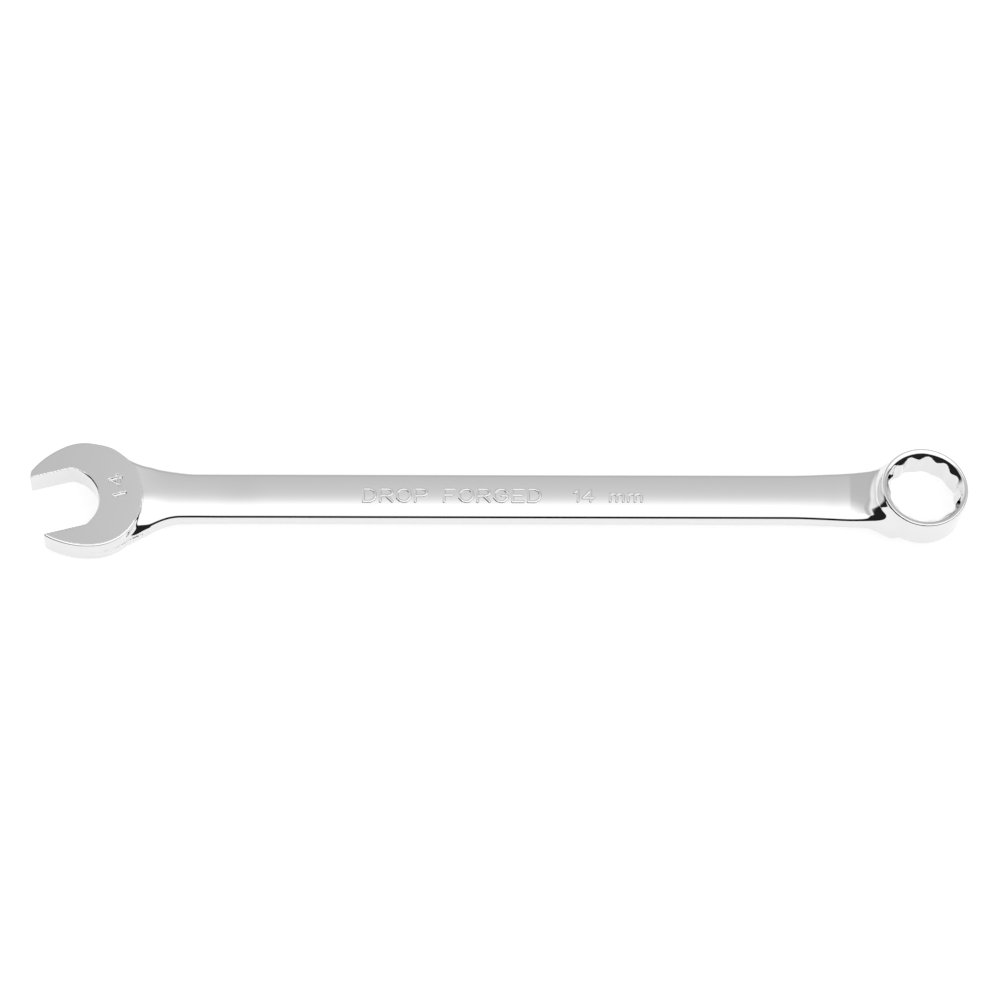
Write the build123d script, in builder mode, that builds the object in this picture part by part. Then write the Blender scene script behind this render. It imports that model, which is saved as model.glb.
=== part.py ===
from build123d import *
import math
import os

# A 14 mm combination wrench, drop forged in one piece and chrome plated: an open
# end canted 15 degrees and an offset, tilted 12-point box end. X runs along the
# wrench towards the box end, Z is up, and the wrench lies on its back at Z = 0.
# Each node is a named region of the one forging, and they meet face to face.

os.makedirs("parts", exist_ok=True)

# ---- driving dimensions (mm, degrees) ----
across_flats = 14.1            # a 14 mm hexagon with its working clearance
open_centre_x = -88.28         # middle of the open end's round head
ring_centre_x = 91.17          # middle of the box end
axis_y = 0.41                  # centreline of the shank

# Open end
head_thickness = 6.2
head_radius = 12.9             # head middle to the widest part of each jaw
jaw_radius = 18.4              # flatter outside of each jaw
upper_back_radius = 11.0       # rounding behind each jaw
lower_back_radius = 12.7
upper_back_end = 28.0          # direction where each rounding runs into the waist
lower_back_end = 20.0
lower_shift = 0.7              # the lower jaw sits this much nearer the shank
back_reach = 12.3              # head middle to the step behind it
jaw_angle = 15.0
jaw_blend = 9.3                # where each jaw's outside leaves the round back
head_drop = 0.4                # the head sits this far below the shank's centreline
upper_jaw_reach = 11.1         # head middle to the tip of the shorter jaw
lower_jaw_reach = 12.1
throat_depth = 1.95            # the throat runs this far past the head's middle
throat_radius = 8.0
throat_corner = 1.5
tip_round = 0.7
head_edge = 0.3                # broken edge around the head's faces

# Stamped size on the head
stamp_height = 2.9
stamp_depth = 0.3
stamp_stroke = 0.55
stamp_back = 6.36              # head middle to the middle of the stamped number
stamp_shift = 0.2

# Shank
shank_width = 11.1
shank_thickness = 5.0
dome_rise = 0.35               # the broad faces are slightly domed
shank_edge = 1.3
shank_start_x = -63.0
shank_end_x = 70.0

# Neck at the open end
# Waist stations, from inside the head: place, half width, thickness, sideways shift
waist_stations = (
    (-86.0, 9.8, 6.1, -0.5),
    (-80.4, 9.0, 5.95, -0.5),
    (-77.4, 7.75, 5.8, -0.15),
    (-74.6, 6.9, 5.6, 0.0),
    (-71.0, 6.3, 5.35, 0.0),
    (-66.5, 5.72, 5.1, 0.0),
    (-63.0, 5.55, 5.0, 0.0),
)
neck_start_x = -75.4           # where the head's node ends, just behind its round back

# Box end
ring_thickness = 8.7
ring_radius = 9.5
ring_tilt = 6.0
ring_edge = 0.6
lead_in_radius = 8.6           # the broach's lead-in at each face
lead_in_depth = 1.6
lead_in_overlap = 0.01         # the lead-in closes just inside the points
first_corner = 22.0            # direction of one corner of the 12-point
ring_start_x = 80.6            # where the ring's node begins
# Neck at the box end: place, half width, thickness and rise of each section
neck_stations = (
    (70.0, 5.55, 5.0, 0.0),
    (76.0, 5.7, 5.05, 0.05),
    (80.6, 6.4, 5.7, 0.5),
    (86.0, 7.9, 7.2, 1.4),
)

# Raised lettering on the shank: name, words, letter height and middle
letter_rise = 0.3
letter_stroke = 0.6
letter_gap = 1.05
letter_root = 1.0              # drawn this far down into the shank, then trimmed to it
letter_drop = 0.3              # the words sit this far below the centreline
raised_lines = (
    ("raised_lettering", "DROP FORGED", 3.0, -10.1),
    ("raised_size", "14 mm", 2.6, 23.5),
)
# Letters as strokes in a box one unit high, and each letter's width for that height
glyph_widths = {
    "D": 0.86, "R": 0.86, "O": 0.95, "P": 0.82, "F": 0.76, "G": 0.95, "E": 0.78,
    "1": 0.3, "4": 0.9, "m": 1.1, " ": 0.55,
}
bowl = [(0, 0.45), (0.7, 0.45), (1, 0.58), (1, 0.87), (0.7, 1), (0, 1)]
ring_letter = [(0.3, 0), (0, 0.28), (0, 0.72), (0.3, 1), (0.7, 1), (1, 0.72)]
glyph_strokes = {
    "D": [[(0, 0), (0, 1), (0.6, 1), (1, 0.7), (1, 0.3), (0.6, 0), (0, 0)]],
    "R": [[(0, 0), (0, 1)], bowl, [(0.5, 0.45), (1, 0)]],
    "O": [ring_letter + [(1, 0.28), (0.7, 0), (0.3, 0)]],
    "P": [[(0, 0), (0, 1)], bowl],
    "F": [[(0, 0), (0, 1), (1, 1)], [(0, 0.52), (0.8, 0.52)]],
    "G": [ring_letter[::-1] + [(0.7, 0), (1, 0.28), (1, 0.45), (0.55, 0.45)]],
    "E": [[(1, 0), (0, 0), (0, 1), (1, 1)], [(0, 0.52), (0.8, 0.52)]],
    "1": [[(0, 0.75), (1, 1), (1, 0)]],
    "4": [[(0.72, 0), (0.72, 1), (0, 0.3)], [(0, 0.3), (1, 0.3)]],
    "m": [[(0, 0), (0, 0.62), (1, 0.62), (1, 0)], [(0.5, 0), (0.5, 0.62)]],
    " ": [],
}

# ---- values worked out from them ----
mid_z = head_thickness / 2
shank_top_z = mid_z + shank_thickness / 2
shank_half = shank_width / 2
tilt = math.radians(ring_tilt)
# The lowest point of the tilted ring rests on the bench with the head.
ring_low_radius = ring_radius - ring_edge
ring_centre_z = ring_thickness / 2 * math.cos(tilt) + ring_low_radius * math.sin(tilt)
head_y = axis_y - head_drop
inner_point_radius = across_flats / 2 / math.cos(math.radians(15))
corner_radius = across_flats / 2 / math.cos(math.radians(30))
letter_y = axis_y - letter_drop
far = 20.0                     # longer than any cut needs to be

jaw_turn = math.radians(jaw_angle)
jaw_plane = Plane(
    origin=(open_centre_x, head_y, 0),
    x_dir=(math.cos(jaw_turn), math.sin(jaw_turn), 0),
    z_dir=(0, 0, 1),
)
ring_plane = Plane(
    origin=(ring_centre_x, axis_y, ring_centre_z),
    x_dir=(math.cos(tilt), 0, -math.sin(tilt)),
    z_dir=(math.sin(tilt), 0, math.cos(tilt)),
)


def section_plane(x):
    """Plane across the wrench at x, drawn with local x across it and local y up."""
    return Plane(origin=(x, axis_y, mid_z), x_dir=(0, 1, 0), z_dir=(1, 0, 0))


def domed_section(half_width, thickness, edge):
    """Section of the bar: two domed faces, straight sides and rounded edges."""
    top = thickness / 2
    side = top - dome_rise
    with BuildSketch() as section:
        with BuildLine():
            ThreePointArc((-half_width, side), (0, top), (half_width, side))
            Line((half_width, side), (half_width, -side))
            ThreePointArc((half_width, -side), (0, -top), (-half_width, -side))
            Line((-half_width, -side), (-half_width, side))
        make_face()
        fillet(section.vertices(), edge)
    return section.sketch


def jaw_side(side, shift, back_radius, reach, end_angle):
    """Corners and arc middles of one side of the head, from its tip to its back."""
    blend = math.radians(jaw_blend)
    outward = Vector(-math.sin(blend), math.cos(blend))
    joint = outward * head_radius + Vector(shift, 0)
    jaw_centre = joint - outward * jaw_radius
    back_centre = joint - outward * back_radius
    rise = math.sqrt(jaw_radius**2 - (reach + jaw_centre.X) ** 2)
    tip = Vector(-reach, jaw_centre.Y + rise)
    jaw_middle = jaw_centre + ((joint + tip) / 2 - jaw_centre).normalized() * jaw_radius
    end_turn = math.radians(end_angle)
    end_direction = Vector(math.cos(end_turn), math.sin(end_turn))
    back_end = back_centre + end_direction * back_radius
    back_middle = back_centre + (outward + end_direction).normalized() * back_radius
    points = (tip, jaw_middle, joint, back_middle, back_end)
    return [(point.X, point.Y * side) for point in points]


def head_outline():
    """Plan of the open end without its gap: two jaws and the round back of the head."""
    upper = jaw_side(1, 0, upper_back_radius, upper_jaw_reach, upper_back_end)
    lower = jaw_side(-1, lower_shift, lower_back_radius, lower_jaw_reach, lower_back_end)
    with BuildSketch() as outline:
        with BuildLine():
            ThreePointArc(upper[0], upper[1], upper[2])
            ThreePointArc(upper[2], upper[3], upper[4])
            ThreePointArc(upper[4], (back_reach, 0), lower[4])
            ThreePointArc(lower[4], lower[3], lower[2])
            ThreePointArc(lower[2], lower[1], lower[0])
            Line(lower[0], upper[0])
        make_face()
        fillet(outline.vertices().sort_by(Axis.X)[0:2], tip_round)
    return outline.sketch


def throat_outline():
    """Plan of the gap between the jaws, open to the front, with a round bottom."""
    half = across_flats / 2
    arc_centre_u = throat_depth - throat_radius
    corner_u = arc_centre_u + math.sqrt(throat_radius**2 - half**2)
    with BuildSketch() as outline:
        with BuildLine():
            Line((-far, half), (corner_u, half))
            ThreePointArc((corner_u, half), (throat_depth, 0), (corner_u, -half))
            Line((corner_u, -half), (-far, -half))
            Line((-far, -half), (-far, half))
        make_face()
        near = (corner_u - throat_corner, corner_u + throat_corner)
        fillet(outline.vertices().filter_by_position(Axis.X, near[0], near[1]), throat_corner)
    return outline.sketch


def point_outline():
    """Plan of the 12-point opening: two hexagons turned 30 degrees apart."""
    with BuildSketch() as outline:
        RegularPolygon(corner_radius, 6, rotation=first_corner)
        RegularPolygon(corner_radius, 6, rotation=first_corner + 30)
    return outline.sketch


def lettering(words, height, stroke):
    """Block letters drawn with one round-ended stroke width, centred on the origin."""
    advance = [glyph_widths[letter] * height + letter_gap for letter in words]
    start = -(sum(advance) - letter_gap) / 2
    with BuildSketch() as sketch:
        for letter in words:
            width = glyph_widths[letter] * height
            for points in glyph_strokes[letter]:
                placed = [(start + x * width, (y - 0.5) * height) for x, y in points]
                with BuildLine():
                    Polyline(*placed)
                trace(line_width=stroke)
            start += width + letter_gap
    return sketch.sketch


# ---- waist: a domed bar that widens and thickens into the head, shared out below ----
with BuildPart() as waist_bar:
    for x, half_width, thickness, shift in waist_stations:
        with BuildSketch(section_plane(x).shift_origin((x, axis_y + shift, mid_z))):
            add(domed_section(half_width, thickness, shank_edge))
    loft()

# ---- open end: flat jaws with a parallel gap and the stamped size ----
with BuildPart() as head_plate:
    with BuildSketch(jaw_plane.offset(mid_z)):
        add(head_outline())
    extrude(amount=mid_z - head_edge)
    with BuildSketch(jaw_plane.offset(head_thickness - head_edge)):
        add(head_outline())
    with BuildSketch(jaw_plane.offset(head_thickness)):
        add(head_outline())
        offset(amount=-head_edge, kind=Kind.INTERSECTION, mode=Mode.REPLACE)
    loft()
    mirror(about=Plane.XY.offset(mid_z))

with BuildPart() as open_end_head:
    add(head_plate.part)
    with BuildSketch(jaw_plane):
        add(throat_outline())
    extrude(amount=head_thickness, mode=Mode.SUBTRACT)
    add(waist_bar.part)
    split(bisect_by=Plane.YZ.offset(neck_start_x), keep=Keep.BOTTOM)
    stamp_plane = jaw_plane.offset(head_thickness - stamp_depth)
    with BuildSketch(stamp_plane):
        with Locations((stamp_back, stamp_shift)):
            add(lettering("14", stamp_height, stamp_stroke).rotate(Axis.Z, 90))
    extrude(amount=far, mode=Mode.SUBTRACT)
open_end_head.part.label = "open_end_head"
export_step(open_end_head.part, "parts/open_end_head.step")

# ---- neck at the open end ----
with BuildPart() as open_end_neck:
    add(waist_bar.part)
    split(bisect_by=Plane.YZ.offset(neck_start_x), keep=Keep.TOP)
open_end_neck.part.label = "open_end_neck"
export_step(open_end_neck.part, "parts/open_end_neck.step")

# ---- shank: one constant domed section ----
with BuildPart() as shank:
    with BuildSketch(section_plane(shank_start_x)):
        add(domed_section(shank_half, shank_thickness, shank_edge))
    extrude(amount=shank_end_x - shank_start_x)
shank.part.label = "shank"
export_step(shank.part, "parts/shank.step")

# ---- neck at the box end: rises and widens into the ring, shared out below ----
with BuildPart() as rising_bar:
    for x, half_width, thickness, rise in neck_stations:
        plane = section_plane(x).shift_origin((x, axis_y, mid_z + rise))
        with BuildSketch(plane):
            add(domed_section(half_width, thickness, shank_edge))
    loft()

# ---- box end: a tilted ring, broached right through with a 12-point ----
with BuildPart() as ring_blank:
    with BuildSketch(ring_plane.offset(-ring_thickness / 2)):
        Circle(ring_radius)
    extrude(amount=ring_thickness)
    fillet(ring_blank.edges().filter_by(GeomType.CIRCLE), ring_edge)

with BuildPart() as broach:
    with BuildSketch(ring_plane.offset(-far)):
        add(point_outline())
    extrude(amount=2 * far)
    for side in (1, -1):
        with BuildSketch(ring_plane.offset(side * ring_thickness / 2)):
            Circle(lead_in_radius)
        with BuildSketch(ring_plane.offset(side * (ring_thickness / 2 - lead_in_depth))):
            Circle(inner_point_radius - lead_in_overlap)
        loft()

with BuildPart() as box_end_ring:
    add(ring_blank.part)
    add(rising_bar.part)
    split(bisect_by=Plane.YZ.offset(ring_start_x), keep=Keep.TOP)
    add(broach.part, mode=Mode.SUBTRACT)
box_end_ring.part.label = "box_end_ring"
export_step(box_end_ring.part, "parts/box_end_ring.step")

with BuildPart() as box_end_neck:
    add(rising_bar.part)
    add(ring_blank.part)
    split(bisect_by=Plane.YZ.offset(ring_start_x), keep=Keep.BOTTOM)
box_end_neck.part.label = "box_end_neck"
export_step(box_end_neck.part, "parts/box_end_neck.step")

# ---- raised lettering: generic words and the size ----
for name, words, height, x in raised_lines:
    with BuildPart() as raised:
        with BuildSketch(Plane.XY.offset(shank_top_z - letter_root)):
            with Locations((x, letter_y)):
                add(lettering(words, height, letter_stroke))
        extrude(amount=letter_root + letter_rise)
        add(shank.part, mode=Mode.SUBTRACT)
    raised.part.label = name
    export_step(raised.part, f"parts/{name}.step")
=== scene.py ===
import math

import bpy
import numpy as np
from mathutils import Matrix, Vector


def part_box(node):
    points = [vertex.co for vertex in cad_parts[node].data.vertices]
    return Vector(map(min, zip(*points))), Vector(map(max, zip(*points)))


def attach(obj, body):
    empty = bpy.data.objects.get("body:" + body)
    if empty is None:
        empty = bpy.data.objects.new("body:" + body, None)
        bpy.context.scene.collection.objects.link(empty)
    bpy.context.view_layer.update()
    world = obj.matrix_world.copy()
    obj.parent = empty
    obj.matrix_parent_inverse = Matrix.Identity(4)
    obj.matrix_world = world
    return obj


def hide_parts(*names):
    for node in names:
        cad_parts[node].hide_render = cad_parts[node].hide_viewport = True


# The looks of a chrome plated combination wrench. Every region of the forging is
# meshed from one signed distance in millimetres, so that the polished faces, the
# rounded edges and the hollows between them run on smoothly from piece to piece.
# X runs along the wrench from the open end to the box end, Z is up. The near side
# is the one towards -Y, where the camera stands.

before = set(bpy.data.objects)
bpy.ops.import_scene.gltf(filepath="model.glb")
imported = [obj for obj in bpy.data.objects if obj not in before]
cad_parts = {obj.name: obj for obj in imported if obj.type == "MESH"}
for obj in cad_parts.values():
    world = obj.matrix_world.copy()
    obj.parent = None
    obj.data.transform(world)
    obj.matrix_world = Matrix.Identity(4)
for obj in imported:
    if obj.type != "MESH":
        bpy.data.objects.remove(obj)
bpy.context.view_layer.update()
MM = 0.001

# ---- sizes in mm, taken from the frame's own boxes where they can be ----
head_low, head_high = (np.array(corner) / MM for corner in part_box("open_end_head"))
shank_low, shank_high = (np.array(corner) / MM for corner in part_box("shank"))
ring_low, ring_high = (np.array(corner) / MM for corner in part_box("box_end_ring"))

HEAD_CUT = head_high[0]
SHANK_START = shank_low[0]
SHANK_END = shank_high[0]
RING_CUT = ring_low[0]
AXIS_Y = (shank_low[1] + shank_high[1]) / 2
MID_Z = (shank_low[2] + shank_high[2]) / 2
HEAD_T = head_high[2] - head_low[2]
SHANK_HALF = (shank_high[1] - shank_low[1]) / 2
SHANK_T = shank_high[2] - shank_low[2]
ACROSS_FLATS = 14.1

# The open end's head. Its u axis runs from the gap towards the shank, v across the jaws.
HEAD_X, HEAD_Y = -88.28, AXIS_Y - 0.4
JAW_TURN = math.radians(15)
HEAD_RADIUS, JAW_RADIUS = 12.83, 18.4
UPPER_BACK, LOWER_BACK = 10.7, 12.7
FACE_UPPER_BACK, FACE_LOWER_BACK = 9.9, 10.25
FACE_MIDDLE, FACE_REACH = 1.2, 9.0
FACE_END, FACE_END_ROUND = -77.6, 0.8
LOWER_SHIFT = 0.7
JAW_BLEND = math.radians(9.3)
UPPER_REACH, LOWER_REACH, TIP_SPACING = 11.1, 12.1, 25.0
SIDES_MEET = -1
TIP_ROUND = 0.7
HEAD_EDGE = 0.4

# The gap between the jaws.
THROAT_DEPTH, THROAT_RADIUS, THROAT_CORNER = 1.95, 8.0, 1.5
THROAT_BEVEL, THROAT_BEVEL_TILT = 0.24, math.radians(46)
THROAT_BEVEL_FADE = (-1.5, 1.5)
THROAT_EDGE = 0.12

# The fillet where the waist runs into the head's face. It grows towards the shank and away
# from the near side.
LEAST_FILLET, HEAD_FILLET = 0.3, 1.5
HEAD_FILLET_FADE_U, HEAD_FILLET_FADE_Y = (3.5, 8.5), (-9.0, -4.5)

# The bar: a station table for each end gives, at each x, half the width, the thickness, the
# middle's shift sideways and its rise, the radius of the long edges, and the depth of the
# bevel along the upper near edge.
HALF, THICK, SHIFT, RISE, EDGE, BEVEL = range(1, 7)
WAIST = np.array([
    (-90.0, 6.5, 6.2, -0.2, 0.0, 1.4, 1.1),
    (-84.0, 6.3, 6.2, -0.2, 0.0, 1.4, 1.15),
    (-79.0, 6.0, 6.17, -0.1, 0.0, 1.4, 1.25),
    (-77.0, 6.15, 6.1, 0.1, 0.0, 1.4, 1.15),
    (-75.0, 6.25, 5.85, 0.35, 0.0, 1.4, 0.7),
    (-73.0, 6.05, 5.6, 0.3, 0.0, 1.4, 0.4),
    (-70.0, 5.8, 5.3, 0.15, 0.0, 1.5, 0.2),
    (-66.5, 5.57, 5.1, 0.0, 0.0, 1.55, 0.0),
    (-63.0, 5.55, 5.0, 0.0, 0.0, 1.55, 0.0),
    (-50.0, 5.55, 5.0, 0.0, 0.0, 1.55, 0.0),
])
NECK = np.array([
    (60.0, 5.55, 5.0, 0.0, 0.0, 1.55, 0.0),
    (64.0, 5.57, 5.0, 0.0, 0.0, 1.55, 0.0),
    (70.0, 5.8, 5.0, 0.0, 0.0, 1.55, 0.0),
    (76.0, 6.1, 5.05, 0.0, 0.05, 1.55, 0.1),
    (80.6, 6.35, 5.6, 0.0, 0.4, 1.6, 0.3),
    (86.0, 6.9, 6.6, 0.0, 1.0, 1.6, 0.5),
    (92.0, 7.2, 7.4, 0.0, 1.4, 1.6, 0.5),
])
FAR_EDGE = 1.3
BEVEL_TILT, BEVEL_EDGE = math.radians(53), 0.5

# The bar's upper and lower faces are crowned. Beside the head the far half is nearly flat
# and the near half is rounder.
DOME_RISE, DOME_LIMIT = 0.35, 1.6
FAR_DOME_LOSS, NEAR_DOME_GAIN = 0.95, 0.7
DOME_FADE = (-70, -78)

# The hollow curves, in plan, where the bar widens into the head or the ring.
LEAST_BLEND, WAIST_BLEND, WAIST_BLEND_FADE = 0.2, 7.0, (1.0, 6.0)
TOP_BLEND_LOSS, TOP_LOSS_FADE_X, TOP_LOSS_FADE_Z = 0.5, (-74.5, -79.5), (0.5, 4.8)
FAR_BLEND_LOSS, FAR_LOSS_FADE = 0.17, (-1, 1)
WAIST_INSIDE = 2.1
NECK_BLEND, NECK_BLEND_FADE = 5.0, (88.5, 84.0)
NECK_OVERLAP, NECK_INSIDE = 0.8, 3

# The box end's ring, tilted so that it stands highest beside the neck and rests on its
# outer edge. PAST_RING lets the neck's skin leave the ring's two planes outside the ring.
RING_X = 91.17
RING_T, RING_RADIUS, RING_EDGE = 8.7, 9.5, 0.75
RING_TILT, RING_LIFT = math.radians(6), 0.01
RING_Z = RING_T / 2 * math.cos(RING_TILT) + (RING_RADIUS - RING_EDGE) * math.sin(RING_TILT) + RING_LIFT
LEAD_IN_RADIUS, LEAD_IN_DEPTH = 8.75, 1.58
CORNER_ROUND, POINT_EDGE = 1.5, 0.12
LIP_ROUND = 0.5
FIRST_CORNER = math.radians(22)
LEAST_RING_FILLET, RING_FILLET, NEAR_FILLET = 0.1, 2.4, 1.2
RING_FILLET_FADE, NEAR_FILLET_FADE = (87.5, 83.5), (-0.3, -3.5)
PAST_RING, PAST_RING_START, PAST_RING_RUN = 3.0, -0.3, 3.0

# The stamped 14 reads up the head: along u is up the digit, along v is its width.
STAMP_U, STAMP_V = 6.45, 0.2
ONE = [((-1.2, -2.0), (1.2, -2.0)), ((-1.2, -2.0), (-0.8, -2.45))]
FOUR = [((1.25, 1.9), (-1.3, 1.9)), ((-1.3, 1.9), (0.55, 0.2)), ((0.55, 0.2), (0.55, 2.6))]
STAMP_HALF, STAMP_DEPTH, STAMP_EDGE = 0.3, 0.33, 0.08
STAMP_REACH, STAMP_BELOW = 4, 1.5

FAR_AWAY = 9.0


# ---- joining distances ----
def round_and(a, b, radius):
    """Where both hold, with a rounded outside edge."""
    u = np.maximum(a + radius, 0)
    v = np.maximum(b + radius, 0)
    return np.minimum(np.maximum(a, b), -radius) + np.hypot(u, v)


def round_or(a, b, radius):
    """Where either holds, with a hollow fillet between them."""
    u = np.maximum(radius - a, 0)
    v = np.maximum(radius - b, 0)
    return np.maximum(np.minimum(a, b), radius) - np.hypot(u, v)


def fade(x, start, end):
    """Zero at start, one at end, smooth between."""
    t = np.clip((x - start) / (end - start), 0, 1)
    return t * t * (3 - 2 * t)


def station_curve(x, table, column):
    """A smooth curve through one column of a station table, level where the plain shank begins."""
    xs, ys = table[:, 0], table[:, column]
    slopes = np.gradient(ys, xs)
    slopes[np.abs(ys - SHANK_HALF) < 1e-6] = 0
    k = np.clip(np.searchsorted(xs, x) - 1, 0, len(xs) - 2)
    width = xs[k + 1] - xs[k]
    t = np.clip((x - xs[k]) / width, 0, 1)
    a, b = ys[k], ys[k + 1]
    ma, mb = slopes[k] * width, slopes[k + 1] * width
    return (
        (2 * t**3 - 3 * t**2 + 1) * a
        + (t**3 - 2 * t**2 + t) * ma
        + (-2 * t**3 + 3 * t**2) * b
        + (t**3 - t**2) * mb
    )


# ---- the forging ----
def bar(p, table, plan=None, blend=1.0):
    """The bar's section along a station table, widening in plan into the head or the ring."""
    x = p[:, 0]
    y = p[:, 1] - AXIS_Y - station_curve(x, table, SHIFT)
    z = p[:, 2] - MID_Z - station_curve(x, table, RISE)
    half = station_curve(x, table, HALF)
    near = y < 0
    side = np.abs(y) - half
    top_side = side
    if plan is not None:
        blend = blend * (1 - FAR_BLEND_LOSS * fade(y, *FAR_LOSS_FADE))
        loss = np.where(near, TOP_BLEND_LOSS * fade(x, *TOP_LOSS_FADE_X), 0)
        top_side = round_or(side, plan, blend * (1 - loss))
        side = round_or(side, plan, blend * (1 - loss * fade(p[:, 2], *TOP_LOSS_FADE_Z)))
    crown = DOME_RISE * np.minimum((y / half) ** 2, DOME_LIMIT)
    beside_head = fade(x, *DOME_FADE)
    crown = crown * np.where(near, 1 + NEAR_DOME_GAIN * beside_head, 1 - FAR_DOME_LOSS * beside_head)
    face = np.abs(z) - (station_curve(x, table, THICK) / 2 - crown)
    bevel = face * math.cos(BEVEL_TILT) + top_side * math.sin(BEVEL_TILT) + station_curve(x, table, BEVEL)
    edge = station_curve(x, table, EDGE)
    edge = np.where(near, edge, np.minimum(edge, FAR_EDGE))
    body = round_and(face, side, edge)
    bevelled = round_and(body, bevel, BEVEL_EDGE)
    return np.where(near & (z > 0), bevelled, body)


def head_outline(u, v, upper_radius, lower_radius):
    """Plan distance of the two jaws and a round back, without the gap."""
    outward = np.array([-math.sin(JAW_BLEND), math.cos(JAW_BLEND)])
    forward = np.array([-math.cos(JAW_BLEND), -math.sin(JAW_BLEND)])
    sides = []
    for side, shift, back_radius in ((1, 0.0, upper_radius), (-1, LOWER_SHIFT, lower_radius)):
        joint = outward * HEAD_RADIUS + np.array([shift, 0.0])
        jaw_middle = joint - outward * JAW_RADIUS
        back_middle = joint - outward * back_radius
        w = v * side
        ahead = (u - joint[0]) * forward[0] + (w - joint[1]) * forward[1] > 0
        jaw = np.hypot(u - jaw_middle[0], w - jaw_middle[1]) - JAW_RADIUS
        back = np.hypot(u - back_middle[0], w - back_middle[1]) - back_radius
        sides.append(np.where(ahead, jaw, back))
    upper, lower = sides
    outline = np.where(v > SIDES_MEET, upper, lower)
    front_turn = math.atan2(LOWER_REACH - UPPER_REACH, TIP_SPACING)
    front = -(u + (UPPER_REACH + LOWER_REACH) / 2) * math.cos(front_turn) + v * math.sin(front_turn)
    return round_and(outline, front, TIP_ROUND)


def throat(u, v):
    """Plan distance of the gap: two flats, a corner and a round bottom."""
    half = ACROSS_FLATS / 2
    middle = THROAT_DEPTH - THROAT_RADIUS
    w = np.abs(v)
    reach = THROAT_RADIUS - THROAT_CORNER
    corner_v = half - THROAT_CORNER
    corner_u = middle + math.sqrt(reach**2 - corner_v**2)
    flat = w - half
    corner = np.hypot(u - corner_u, w - corner_v) - THROAT_CORNER
    bottom = np.hypot(u - middle, w) - THROAT_RADIUS
    past = (u - middle) * corner_v - w * (corner_u - middle) > 0
    return np.where(past, bottom, np.where(u > corner_u, corner, flat))


def segment_distance(x, y, a, b):
    """Plan distance to one straight stroke."""
    dx, dy = b[0] - a[0], b[1] - a[1]
    t = np.clip(((x - a[0]) * dx + (y - a[1]) * dy) / (dx * dx + dy * dy), 0, 1)
    return np.hypot(x - a[0] - t * dx, y - a[1] - t * dy)


def stamp(u, v, z):
    """The stamped size: round bottomed grooves pressed into the face."""
    nearest = np.full(u.shape, FAR_AWAY)
    beside = (np.abs(u - STAMP_U) < STAMP_REACH) & (np.abs(v - STAMP_V) < STAMP_REACH)
    near = beside & (z > HEAD_T - STAMP_BELOW)
    du, dv = u[near] - STAMP_U, v[near] - STAMP_V
    best = np.full(du.shape, FAR_AWAY)
    for a, b in ONE + FOUR:
        best = np.minimum(best, segment_distance(du, dv, a, b))
    depth = z[near] - HEAD_T
    radius = (STAMP_HALF**2 + STAMP_DEPTH**2) / (2 * STAMP_DEPTH)
    nearest[near] = np.hypot(best, depth - (radius - STAMP_DEPTH)) - radius
    return nearest


def open_end(p):
    """The open end's head joined to its waist."""
    dx, dy = p[:, 0] - HEAD_X, p[:, 1] - HEAD_Y
    u = dx * math.cos(JAW_TURN) + dy * math.sin(JAW_TURN)
    v = -dx * math.sin(JAW_TURN) + dy * math.cos(JAW_TURN)
    z = p[:, 2]
    slab = np.abs(z - MID_Z) - HEAD_T / 2

    face_outline = head_outline(u, v, FACE_UPPER_BACK, FACE_LOWER_BACK)
    back = np.hypot(u - FACE_MIDDLE, v) - FACE_REACH
    face_outline = np.where(u > 0, np.minimum(face_outline, back), face_outline)
    face_outline = round_and(face_outline, p[:, 0] - FACE_END, FACE_END_ROUND)
    plate = round_and(face_outline, slab, HEAD_EDGE)

    outline = head_outline(u, v, UPPER_BACK, LOWER_BACK)
    blend = LEAST_BLEND + WAIST_BLEND * fade(u, *WAIST_BLEND_FADE)
    waist = np.maximum(bar(p, WAIST, outline, blend), -WAIST_INSIDE - u)
    fillet = HEAD_FILLET * fade(u, *HEAD_FILLET_FADE_U) * fade(p[:, 1], *HEAD_FILLET_FADE_Y)
    both = np.maximum(round_or(plate, waist, LEAST_FILLET + fillet), slab)

    gap = throat(u, v)
    bevel = both * math.cos(THROAT_BEVEL_TILT) - gap * math.sin(THROAT_BEVEL_TILT)
    bevel = bevel + THROAT_BEVEL * fade(u, *THROAT_BEVEL_FADE)
    body = round_and(np.maximum(both, bevel), -gap, THROAT_EDGE)
    return round_and(body, -stamp(u, v, z), STAMP_EDGE)


def corner_rounded(u, v, turn):
    """Plan distance of a hexagon whose six corners are rounded."""
    angle = (np.arctan2(v, u) - turn + math.pi / 6) % (math.pi / 3) - math.pi / 6
    r = np.hypot(u, v)
    x, y = r * np.cos(angle), r * np.abs(np.sin(angle))
    inner = (ACROSS_FLATS / 2 - CORNER_ROUND) / math.cos(math.pi / 6)
    flat = x * math.cos(math.pi / 6) + y * math.sin(math.pi / 6) - ACROSS_FLATS / 2
    along = (x - inner) * -math.sin(math.pi / 6) + y * math.cos(math.pi / 6)
    return np.where(along < 0, np.hypot(x - inner, y) - CORNER_ROUND, flat)


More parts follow.
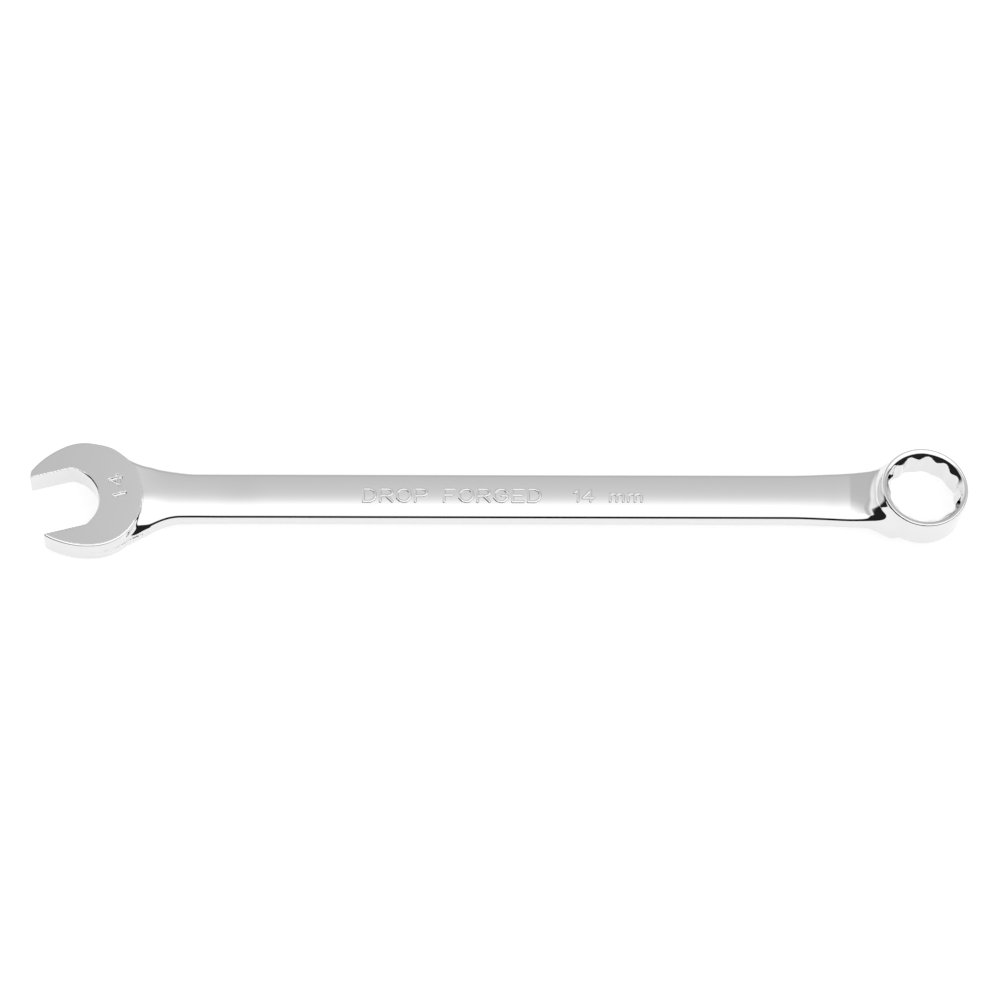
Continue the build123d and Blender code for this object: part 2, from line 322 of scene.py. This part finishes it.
def box_end(p):
    """The box end's ring joined to its rising neck, with its opening."""
    x, y = p[:, 0], p[:, 1]
    dx, dz = x - RING_X, p[:, 2] - RING_Z
    u = dx * math.cos(RING_TILT) - dz * math.sin(RING_TILT)
    v = y - AXIS_Y
    w = dx * math.sin(RING_TILT) + dz * math.cos(RING_TILT)
    r = np.hypot(u, v)
    slab = np.abs(w) - RING_T / 2

    blank = round_and(r - RING_RADIUS, slab, RING_EDGE)
    blend = LEAST_BLEND + NECK_BLEND * fade(x, *NECK_BLEND_FADE)
    neck = np.maximum(bar(p, NECK, r - RING_RADIUS + NECK_OVERLAP, blend), dx + NECK_INSIDE)
    fillet = (RING_FILLET + NEAR_FILLET * fade(y, *NEAR_FILLET_FADE)) * fade(x, *RING_FILLET_FADE)
    body = round_or(blank, neck, LEAST_RING_FILLET + fillet)
    start = RING_RADIUS + PAST_RING_START
    body = np.maximum(body, slab - PAST_RING * fade(r, start, start + PAST_RING_RUN))

    inner = ACROSS_FLATS / 2 / math.cos(math.radians(15))
    slope = np.array([LEAD_IN_DEPTH, inner - LEAD_IN_RADIUS])
    slope = slope / np.hypot(*slope)
    cone = (r - LEAD_IN_RADIUS) * slope[0] + slab * slope[1]
    first, second = (corner_rounded(u, v, FIRST_CORNER + turn) for turn in (0.0, math.radians(30)))
    points = -round_and(-first, -second, POINT_EDGE)
    return np.maximum(round_and(body, -cone, LIP_ROUND), -points)


def shank_shape(p):
    """The plain shank with the first of its growth towards each end."""
    return np.where(p[:, 0] < 0, bar(p, WAIST), bar(p, NECK))


# ---- meshing ----
PITCH = 0.2
LETTER_PITCH = 0.09
# How hard a vertex is held to the middle of its crossing points, and how far it stays
# inside its cell and how near to a cut it snaps onto it, both as parts of the pitch.
MIDDLE_PULL, CELL_MARGIN, SNAP = 0.03, 0.02, 0.3
# A corner is looked at again when its normal leans from its face by more than the first
# cosine, and split when the normal a little inside the face differs by more than the second.
SMOOTH_BEND, SMOOTH_TURN, INWARD = 0.94, 0.96, 0.3


def gradient(shape, p, step=0.02):
    """Unit normals of a distance at points."""
    g = np.empty_like(p)
    for axis in range(3):
        d = np.zeros(3)
        d[axis] = step
        g[:, axis] = shape(p + d) - shape(p - d)
    return g / np.maximum(np.linalg.norm(g, axis=1, keepdims=True), 1e-9)


def crossed_edges(shape, low, counts, pitch):
    """The grid edges that the skin crosses: axis, start, crossing point, and whether the start is inside."""
    axes = [low[i] + pitch * np.arange(counts[i]) for i in range(3)]
    grid = np.stack(np.meshgrid(*axes, indexing="ij"), -1).reshape(-1, 3)
    value = shape(grid).reshape(counts)
    inside = value < 0
    found = []
    for axis in range(3):
        first, last = [slice(None)] * 3, [slice(None)] * 3
        first[axis], last[axis] = slice(0, -1), slice(1, None)
        first, last = tuple(first), tuple(last)
        starts = np.argwhere(inside[first] != inside[last])
        at = tuple(starts.T)
        v0, v1 = value[first][at], value[last][at]
        point = low + pitch * starts
        point[:, axis] += pitch * v0 / (v0 - v1)
        found.append((axis, starts, point, inside[first][at]))
    return found


def cells_around(axis, starts, cells):
    """The numbers of the four cells that share each crossed edge, in order around it."""
    s, t = (axis + 1) % 3, (axis + 2) % 3
    around = []
    for ds, dt in ((0, 0), (-1, 0), (-1, -1), (0, -1)):
        cell = starts.copy()
        cell[:, s] += ds
        cell[:, t] += dt
        around.append(cell[:, 0] * cells[1] * cells[2] + cell[:, 1] * cells[2] + cell[:, 2])
    return np.stack(around, 1)


def meeting_points(points, normals, cell_of):
    """One vertex per cell, close to where the skin's planes through its crossing points meet."""
    n = cell_of.max() + 1
    count = np.bincount(cell_of, minlength=n).astype(float)
    middle = np.stack([np.bincount(cell_of, points[:, i], n) / count for i in range(3)], 1)
    off = np.einsum("ij,ij->i", normals, points - middle[cell_of])
    ata = np.empty((n, 3, 3))
    atb = np.empty((n, 3))
    for i in range(3):
        atb[:, i] = np.bincount(cell_of, normals[:, i] * off, n)
        for j in range(3):
            ata[:, i, j] = np.bincount(cell_of, normals[:, i] * normals[:, j], n)
    ata += np.eye(3) * MIDDLE_PULL * count[:, None, None]
    return middle + np.linalg.solve(ata, atb[:, :, None])[:, :, 0]


def net(shape, low, high, pitch):
    """A closed quad mesh of a distance: one vertex per crossed cell, set on its edges and faces."""
    low, high = np.array(low, float), np.array(high, float)
    counts = np.ceil((high - low) / pitch).astype(int) + 1
    cells = counts - 1
    found = crossed_edges(shape, low, counts, pitch)
    points = np.concatenate([point for _, _, point, _ in found])
    normals = gradient(shape, points, 0.01)
    quads = np.concatenate([cells_around(axis, starts, cells) for axis, starts, _, _ in found])
    ids, flat = np.unique(quads.ravel(), return_inverse=True)
    quads = flat.reshape(-1, 4)
    who = np.repeat(np.arange(len(points)), 4)
    vertex = meeting_points(points[who], normals[who], quads.ravel())
    cell = np.stack([ids // (cells[1] * cells[2]), ids // cells[2] % cells[1], ids % cells[2]], 1)
    corner = low + pitch * cell
    vertex = np.clip(vertex, corner + CELL_MARGIN * pitch, corner + (1 - CELL_MARGIN) * pitch)
    starts_inside = np.concatenate([inside for _, _, _, inside in found])
    quads[~starts_inside] = quads[~starts_inside][:, ::-1]
    return vertex, quads


def corner_normals(vertex, faces, shape, caps=()):
    """Exact normals for each face corner: shared on smooth skin, split at sharp edges and end caps."""
    corners = vertex[faces]
    middle = corners.mean(1)
    across = np.cross(corners[:, 2] - corners[:, 0], corners[:, 3] - corners[:, 1])
    across /= np.maximum(np.linalg.norm(across, axis=1, keepdims=True), 1e-12)
    normals = gradient(shape, vertex)[faces]
    bend = np.einsum("ij,ikj->ik", across, normals)
    rough = bend < SMOOTH_BEND
    if rough.any():
        face_of, corner_of = np.nonzero(rough)
        moved = corners[face_of, corner_of] * (1 - INWARD) + middle[face_of] * INWARD
        own = gradient(shape, moved)
        differs = np.einsum("ij,ij->i", own, normals[face_of, corner_of]) < SMOOTH_TURN
        normals[face_of[differs], corner_of[differs]] = own[differs]
    for x, side in caps:
        flat = np.all(np.abs(corners[:, :, 0] - x) < 1e-3, axis=1)
        normals[flat] = (side, 0, 0)
    return normals


chrome_pieces = []


def add_piece(name, node, vertex, faces, normals):
    """A named mesh piece in metres that stands for one CAD node."""
    mesh = bpy.data.meshes.new(name)
    mesh.vertices.add(len(vertex))
    mesh.vertices.foreach_set("co", (vertex * MM).astype(np.float32).ravel())
    sides = faces.shape[1]
    mesh.loops.add(faces.size)
    mesh.loops.foreach_set("vertex_index", faces.astype(np.int32).ravel())
    mesh.polygons.add(len(faces))
    mesh.polygons.foreach_set("loop_start", np.arange(len(faces), dtype=np.int32) * sides)
    mesh.update(calc_edges=True)
    mesh.validate()
    mesh.polygons.foreach_set("use_smooth", np.ones(len(mesh.polygons), bool))
    mesh.normals_split_custom_set(normals.reshape(-1, 3).astype(np.float32))
    piece = bpy.data.objects.new(name, mesh)
    bpy.context.scene.collection.objects.link(piece)
    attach(piece, "root")
    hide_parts(node)
    chrome_pieces.append(piece)


def cut_piece(name, node, shape, low, high, cut_low=None, cut_high=None):
    """One region of the forging, cut square at its ends along X and standing on the bench."""

    def cut(p):
        value = shape(p)
        if cut_low is not None:
            value = np.maximum(value, cut_low - p[:, 0])
        if cut_high is not None:
            value = np.maximum(value, p[:, 0] - cut_high)
        return value

    vertex, faces = net(cut, low, high, PITCH)
    caps = [(x, side) for x, side in ((cut_low, -1.0), (cut_high, 1.0)) if x is not None]
    for x, _ in caps:
        vertex[np.abs(vertex[:, 0] - x) < SNAP * PITCH, 0] = x
    vertex[:, 2] = np.maximum(vertex[:, 2], 0)
    normals = corner_normals(vertex, faces, shape, caps)
    add_piece(name, node, vertex, faces, normals)


def grid_start(low, cut):
    """A grid start at or below low that puts the cut halfway along a cell."""
    return cut - (math.ceil((cut - low) / PITCH) + 0.5) * PITCH


# ---- the two ends, each in two pieces; the margins keep the skin inside the grid ----
BEFORE_CUT, PAST_CUT = 2.5 * PITCH, 3 * PITCH
BELOW = 0.57
HEAD_WIDE, HEAD_ABOVE, HEAD_BEFORE = 13.5, 0.6, 0.8
RING_NEAR, RING_FAR, RING_ABOVE, RING_PAST = 10.6, 11.4, 11.2, 1

cut_piece(
    "Open_end_head", "open_end_head", open_end,
    (grid_start(head_low[0] - HEAD_BEFORE, HEAD_CUT), -HEAD_WIDE, -BELOW),
    (HEAD_CUT + PAST_CUT, HEAD_WIDE, HEAD_T + HEAD_ABOVE), cut_high=HEAD_CUT,
)
cut_piece(
    "Open_end_neck", "open_end_neck", open_end,
    (HEAD_CUT - BEFORE_CUT, -HEAD_WIDE, -BELOW),
    (SHANK_START + PAST_CUT, HEAD_WIDE, HEAD_T + HEAD_ABOVE), cut_low=HEAD_CUT, cut_high=SHANK_START,
)
cut_piece(
    "Box_end_neck", "box_end_neck", box_end,
    (SHANK_END - BEFORE_CUT, -RING_NEAR, -BELOW),
    (RING_CUT + PAST_CUT, RING_FAR, RING_ABOVE), cut_low=SHANK_END, cut_high=RING_CUT,
)
cut_piece(
    "Box_end_ring", "box_end_ring", box_end,
    (RING_CUT - BEFORE_CUT, -RING_NEAR, -BELOW),
    (ring_high[0] + RING_PAST, RING_FAR, RING_ABOVE), cut_low=RING_CUT,
)


# ---- shank: one section drawn along ----
SECTION_POINTS, SECTION_ROWS, SECTION_SAMPLES = 220, 90, 4001
BEND_WEIGHT = 2.0
SETTLING_STEPS = 8


def shank_section():
    """The section's points at mid shank, closer together where it bends."""
    turn = np.linspace(0, 2 * math.pi, SECTION_SAMPLES)
    dense = np.zeros((len(turn), 3))
    dense[:, 1] = AXIS_Y + SHANK_HALF * np.sign(np.cos(turn)) * np.abs(np.cos(turn)) ** 0.5
    dense[:, 2] = MID_Z + SHANK_T / 2 * np.sign(np.sin(turn)) * np.abs(np.sin(turn)) ** 0.5
    for _ in range(SETTLING_STEPS):
        dense -= gradient(shank_shape, dense) * shank_shape(dense)[:, None]
    facing = gradient(shank_shape, dense)
    bend = np.linalg.norm(np.diff(facing, axis=0), axis=1)
    spent = np.linalg.norm(np.diff(dense, axis=0), axis=1) + BEND_WEIGHT * bend
    spent = np.concatenate([[0], np.cumsum(spent)])
    even = np.linspace(0, spent[-1], SECTION_POINTS, endpoint=False)
    return np.stack([np.interp(even, spent, dense[:, axis]) for axis in range(3)], 1)


def shank_piece():
    """The shank: rows of the section, settled on the skin, with a flat cap at each end."""
    along = np.linspace(SHANK_START, SHANK_END, SECTION_ROWS)
    rows = np.repeat(shank_section()[None], SECTION_ROWS, 0)
    rows[:, :, 0] = along[:, None]
    vertex = rows.reshape(-1, 3)
    for _ in range(SETTLING_STEPS):
        move = gradient(shank_shape, vertex) * shank_shape(vertex)[:, None]
        move[:, 0] = 0
        vertex -= move
    k = np.arange(SECTION_POINTS)
    following = (k + 1) % SECTION_POINTS
    band = np.stack([k, following, SECTION_POINTS + following, SECTION_POINTS + k], 1)
    faces = [band + row * SECTION_POINTS for row in range(SECTION_ROWS - 1)]
    k = np.arange(SECTION_POINTS // 2 - 1)
    cap = np.stack([k, k + 1, SECTION_POINTS - 2 - k, SECTION_POINTS - 1 - k], 1)
    faces += [cap[:, ::-1], cap + len(vertex) - SECTION_POINTS]
    faces = np.concatenate(faces)
    normals = corner_normals(vertex, faces, shank_shape, ((SHANK_START, -1.0), (SHANK_END, 1.0)))
    add_piece("Shank", "shank", vertex, faces, normals)


shank_piece()

# ---- raised lettering: soft topped strokes that grow out of the shank's face ----
# A letter is its width for a height of 1, and its lines through points on a unit square.
BOWL = [(0, 0.45), (0.6, 0.45), (0.88, 0.52), (1, 0.66), (1, 0.79), (0.88, 0.93), (0.6, 1), (0, 1)]
ROUND = [
    (0.95, 0.25), (0.72, 0.03), (0.5, 0), (0.22, 0.07), (0, 0.3),
    (0, 0.7), (0.22, 0.93), (0.5, 1), (0.75, 0.96), (0.95, 0.78),
]
D_BACK = [(0, 0), (0, 1), (0.55, 1), (0.88, 0.85), (1, 0.6), (1, 0.4), (0.88, 0.15), (0.55, 0), (0, 0)]
M_ARCHES = [
    [(0, 0), (0, 0.68)],
    [(0, 0.52), (0.14, 0.68), (0.38, 0.68), (0.5, 0.52), (0.5, 0)],
    [(0.5, 0.52), (0.64, 0.68), (0.86, 0.68), (1, 0.52), (1, 0)],
]
GLYPHS = {
    "D": (0.86, [D_BACK]),
    "R": (0.86, [[(0, 0), (0, 1)], BOWL, [(0.5, 0.45), (1, 0)]]),
    "O": (0.95, [ROUND + [(1, 0.6), (1, 0.4), (0.95, 0.25)]]),
    "P": (0.82, [[(0, 0), (0, 1)], BOWL]),
    "F": (0.76, [[(0, 0), (0, 1), (1, 1)], [(0, 0.52), (0.8, 0.52)]]),
    "G": (0.95, [ROUND, [(0.95, 0.25), (1, 0.46), (0.55, 0.46)]]),
    "E": (0.78, [[(1, 0), (0, 0), (0, 1), (1, 1)], [(0, 0.52), (0.85, 0.52)]]),
    "1": (0.3, [[(0.1, 0.8), (1, 1), (1, 0)]]),
    "4": (0.9, [[(0.72, 0), (0.72, 1), (0, 0.3), (1, 0.3)]]),
    "m": (1.1, M_ARCHES),
    " ": (0.55, []),
}
LETTER_RISE, LETTER_HALF, LETTER_GAP = 0.3, 0.33, 1.05
LETTER_EDGE, LETTER_SUNK = 0.28, 0.04
STROKE_REACH = 1
LETTER_ROOM, LETTER_BELOW, LETTER_ABOVE = 0.8, 0.45, 0.2


def word_strokes(words, height, middle_x, middle_y):
    """The straight strokes of a line of words, as pairs of ends."""
    advance = [GLYPHS[letter][0] * height + LETTER_GAP for letter in words]
    start = middle_x - (sum(advance) - LETTER_GAP) / 2
    ends = []
    for letter, step in zip(words, advance):
        width = step - LETTER_GAP
        for line in GLYPHS[letter][1]:
            placed = [(start + x * width, middle_y + (y - 0.5) * height) for x, y in line]
            ends += list(zip(placed[:-1], placed[1:]))
        start += step
    return ends


def raised_words(name, node, words, height, middle_x, middle_y):
    """One line of raised letters as a closed mesh, standing on the shank."""
    ends = word_strokes(words, height, middle_x, middle_y)

    def standing(p):
        value = np.full(len(p), FAR_AWAY)
        for a, b in ends:
            left, right = min(a[0], b[0]) - STROKE_REACH, max(a[0], b[0]) + STROKE_REACH
            near = (p[:, 0] > left) & (p[:, 0] < right)
            value[near] = np.minimum(value[near], segment_distance(p[near, 0], p[near, 1], a, b))
        skin = shank_shape(p)
        letters = round_and(value - LETTER_HALF, skin - LETTER_RISE, LETTER_EDGE)
        return np.maximum(letters, -skin - LETTER_SUNK)

    xs = [x for pair in ends for x, _ in pair]
    top_z = MID_Z + SHANK_T / 2
    low = (min(xs) - LETTER_ROOM, middle_y - height / 2 - LETTER_ROOM, top_z - LETTER_BELOW)
    high = (max(xs) + LETTER_ROOM, middle_y + height / 2 + LETTER_ROOM, top_z + LETTER_RISE + LETTER_ABOVE)
    vertex, faces = net(standing, low, high, LETTER_PITCH)
    add_piece(name, node, vertex, faces, corner_normals(vertex, faces, standing))


raised_words("Raised_lettering", "raised_lettering", "DROP FORGED", 3.0, -10.1, AXIS_Y - 0.3)
raised_words("Raised_size", "raised_size", "14 mm", 2.6, 23.5, AXIS_Y - 0.35)


# ---- chrome ----
def chrome():
    """Polished chrome: faint buffing lines along the wrench, soft smudges, duller worn edges."""
    material = bpy.data.materials.new("Polished_chrome")
    material.use_nodes = True
    nodes, links = material.node_tree.nodes, material.node_tree.links
    shader = nodes["Principled BSDF"]
    shader.inputs["Base Color"].default_value = (0.78, 0.78, 0.785, 1)
    shader.inputs["Metallic"].default_value = 1.0
    coordinates = nodes.new("ShaderNodeTexCoord")

    def noise(scale, detail, stretch):
        mapping = nodes.new("ShaderNodeMapping")
        mapping.inputs["Scale"].default_value = stretch
        links.new(coordinates.outputs["Object"], mapping.inputs["Vector"])
        node = nodes.new("ShaderNodeTexNoise")
        node.inputs["Scale"].default_value = scale
        node.inputs["Detail"].default_value = detail
        links.new(mapping.outputs["Vector"], node.inputs["Vector"])
        return node.outputs["Fac"]

    def level(value, low, high, to_low, to_high):
        node = nodes.new("ShaderNodeMapRange")
        node.inputs["From Min"].default_value = low
        node.inputs["From Max"].default_value = high
        node.inputs["To Min"].default_value = to_low
        node.inputs["To Max"].default_value = to_high
        links.new(value, node.inputs["Value"])
        return node.outputs["Result"]

    def add(first, second):
        node = nodes.new("ShaderNodeMath")
        node.operation = "ADD"
        links.new(first, node.inputs[0])
        links.new(second, node.inputs[1])
        return node.outputs[0]

    def bump(height, strength, distance):
        node = nodes.new("ShaderNodeBump")
        node.inputs["Strength"].default_value = strength
        node.inputs["Distance"].default_value = distance
        links.new(height, node.inputs["Height"])
        return node

    smudge = level(noise(90.0, 4.0, (1, 1, 1)), 0.45, 0.75, 0.02, 0.055)
    buffing = level(noise(900.0, 3.0, (0.06, 1, 1)), 0.55, 0.8, 0.0, 0.05)
    geometry = nodes.new("ShaderNodeNewGeometry")
    worn = level(geometry.outputs["Pointiness"], 0.53, 0.62, 0.0, 0.07)
    links.new(add(add(smudge, buffing), worn), shader.inputs["Roughness"])
    ripple = bump(noise(160.0, 2.0, (0.5, 1, 1)), 0.35, 0.01 * MM)
    grain = bump(noise(1500.0, 2.0, (0.04, 1, 1)), 0.25, 0.0012 * MM)
    links.new(ripple.outputs["Normal"], grain.inputs["Normal"])
    links.new(grain.outputs["Normal"], shader.inputs["Normal"])
    return material


plate = chrome()
for piece in chrome_pieces:
    piece.data.materials.append(plate)

# ---- floor ----
FLOOR_HALF, FLOOR_DROP = 6.0, 0.6 * MM


def white_paper():
    """Matt white paper that also glows a little, so that the floor stays even."""
    material = bpy.data.materials.new("White_paper")
    material.use_nodes = True
    shader = material.node_tree.nodes["Principled BSDF"]
    shader.inputs["Base Color"].default_value = (0.5, 0.5, 0.5, 1)
    shader.inputs["Roughness"].default_value = 1.0
    shader.inputs["Specular IOR Level"].default_value = 0.0
    shader.inputs["Emission Color"].default_value = (1, 1, 1, 1)
    shader.inputs["Emission Strength"].default_value = 0.67
    return material


corners = [(x * FLOOR_HALF, y * FLOOR_HALF, 0) for x, y in ((-1, -1), (1, -1), (1, 1), (-1, 1))]
floor_mesh = bpy.data.meshes.new("Floor")
floor_mesh.from_pydata(corners, [], [(0, 1, 2, 3)])
floor_mesh.materials.append(white_paper())
floor = bpy.data.objects.new("Floor", floor_mesh)
floor.location.z = -FLOOR_DROP
bpy.context.scene.collection.objects.link(floor)

# ---- light: how bright the studio is at each height in degrees above the horizon ----
FRONT = [(-90, 0.9), (-30, 0.9), (-29, 0.012), (27, 0.015), (33, 1.0), (90, 1.0)]
BACK = [(-8, 0.9), (0, 0.42), (45, 0.48), (54, 0.53), (60, 0.575), (63, 0.63), (65.5, 0.74), (69, 1.0)]
BACK_LEFT = [(-8, 0.9), (0, 0.42), (45, 0.46), (60, 0.48), (64, 0.52), (66.5, 0.66), (70, 1.0)]
SIDE = [(-90, 0.9), (-8, 0.9), (0, 0.62), (20, 0.8), (45, 0.85), (70, 1.0)]
BACKDROP = [(-90, 0.76), (90, 0.76)]
STUDIO_STRENGTH = 1.3
# Where one part of the studio gives way to the next, along the x, y and z of the direction.
LEFT_X, RIGHT_X, FORWARD_Y = (-0.1, -0.9), (0.1, 1.0), (0.35, -0.05)
PANEL_X, REAR_X, SEAM_Y = (-0.085, -0.035), (-0.75, -0.5), (0.05, 0.3)
# The dark surroundings reach higher on the left and less high on the right, in half turns,
# and high up the seam behind them turns off the x axis.
LEFT_LEAN, RIGHT_LEAN = -30.0 / 180, 15.0 / 180
SEAM_TURN, SEAM_TURN_Z = 0.6, (0.6, 0.8)


def studio_world():
    """A bright tent overhead, a grey panel behind and dark surroundings low in front.

    The camera itself sees a plain pale backdrop instead.
    """
    world = bpy.data.worlds.new("Studio")
    bpy.context.scene.world = world
    world.use_nodes = True
    tree = world.node_tree
    background = tree.nodes["Background"]
    direction = tree.nodes.new("ShaderNodeTexCoord")
    parts = tree.nodes.new("ShaderNodeSeparateXYZ")
    tree.links.new(direction.outputs["Generated"], parts.inputs["Vector"])
    x, y, z = (parts.outputs[axis] for axis in "XYZ")

    def math_node(operation, first, second=None):
        node = tree.nodes.new("ShaderNodeMath")
        node.operation = operation
        for socket, value in zip(node.inputs, (first, second)):
            if isinstance(value, float):
                socket.default_value = value
            elif value is not None:
                tree.links.new(value, socket)
        return node.outputs[0]

    def step(value, low, high, smooth=True):
        node = tree.nodes.new("ShaderNodeMapRange")
        node.interpolation_type = "SMOOTHSTEP" if smooth else "LINEAR"
        node.inputs["From Min"].default_value = low
        node.inputs["From Max"].default_value = high
        tree.links.new(value, node.inputs["Value"])
        return node.outputs["Result"]

    def mix(factor, first, second):
        node = tree.nodes.new("ShaderNodeMix")
        node.data_type = "RGBA"
        tree.links.new(factor, node.inputs["Factor"])
        tree.links.new(first, node.inputs["A"])
        tree.links.new(second, node.inputs["B"])
        return node.outputs["Result"]

    def ramp(height, stops):
        node = tree.nodes.new("ShaderNodeValToRGB")
        node.color_ramp.interpolation = "LINEAR"
        while len(node.color_ramp.elements) < len(stops):
            node.color_ramp.elements.new(0.5)
        for element, (degrees, level) in zip(node.color_ramp.elements, stops):
            element.position = (degrees + 90) / 180
            element.color = (level, level, level, 1)
        tree.links.new(height, node.inputs["Fac"])
        return node.outputs["Color"]

    height = step(math_node("ARCSINE", z), -math.pi / 2, math.pi / 2, False)
    forward = step(y, *FORWARD_Y)
    left = math_node("MULTIPLY", step(x, *LEFT_X), LEFT_LEAN)
    right = math_node("MULTIPLY", step(x, *RIGHT_X), RIGHT_LEAN)
    lean = math_node("MULTIPLY", math_node("ADD", left, right), forward)
    front = ramp(math_node("ADD", height, lean), FRONT)

    panel = mix(step(x, *PANEL_X), ramp(height, BACK_LEFT), ramp(height, BACK))
    rear = mix(step(x, *REAR_X), ramp(height, SIDE), panel)
    turn = math_node("MULTIPLY", math_node("MULTIPLY", x, SEAM_TURN), step(z, *SEAM_TURN_Z))
    seen = mix(step(math_node("SUBTRACT", y, turn), *SEAM_Y), front, rear)

    eye = tree.nodes.new("ShaderNodeLightPath").outputs["Is Camera Ray"]
    tree.links.new(mix(eye, seen, ramp(height, BACKDROP)), background.inputs["Color"])
    background.inputs["Strength"].default_value = STUDIO_STRENGTH


studio_world()

# ---- camera: a long lens on the near side, looking steeply down at the wrench ----
VIEW_RISE, VIEW_ROLL = math.radians(62.316), math.radians(0.129)
VIEW_DISTANCE, VIEW_WIDTH = 1.2264, 0.215708
VIEW_TARGET = Vector((0, 0, 3.1 * MM))
VIEW_SHIFT_X, VIEW_SHIFT_Y = 0.0012, 0.0014
SENSOR = 36.0

camera_data = bpy.data.cameras.new("Camera")
camera_data.sensor_width = SENSOR
camera_data.lens = VIEW_DISTANCE / VIEW_WIDTH * SENSOR
camera_data.shift_x, camera_data.shift_y = VIEW_SHIFT_X, VIEW_SHIFT_Y
camera_data.clip_end = 20.0
camera = bpy.data.objects.new("Camera", camera_data)
bpy.context.scene.collection.objects.link(camera)
towards_camera = Vector((0, -math.cos(VIEW_RISE), math.sin(VIEW_RISE)))
aim = towards_camera.to_track_quat("Z", "Y").to_matrix().to_4x4()
place = Matrix.Translation(VIEW_TARGET + VIEW_DISTANCE * towards_camera)
camera.matrix_world = place @ aim @ Matrix.Rotation(VIEW_ROLL, 4, "Z")
bpy.context.scene.camera = camera
bpy.context.scene.view_settings.view_transform = "Standard"
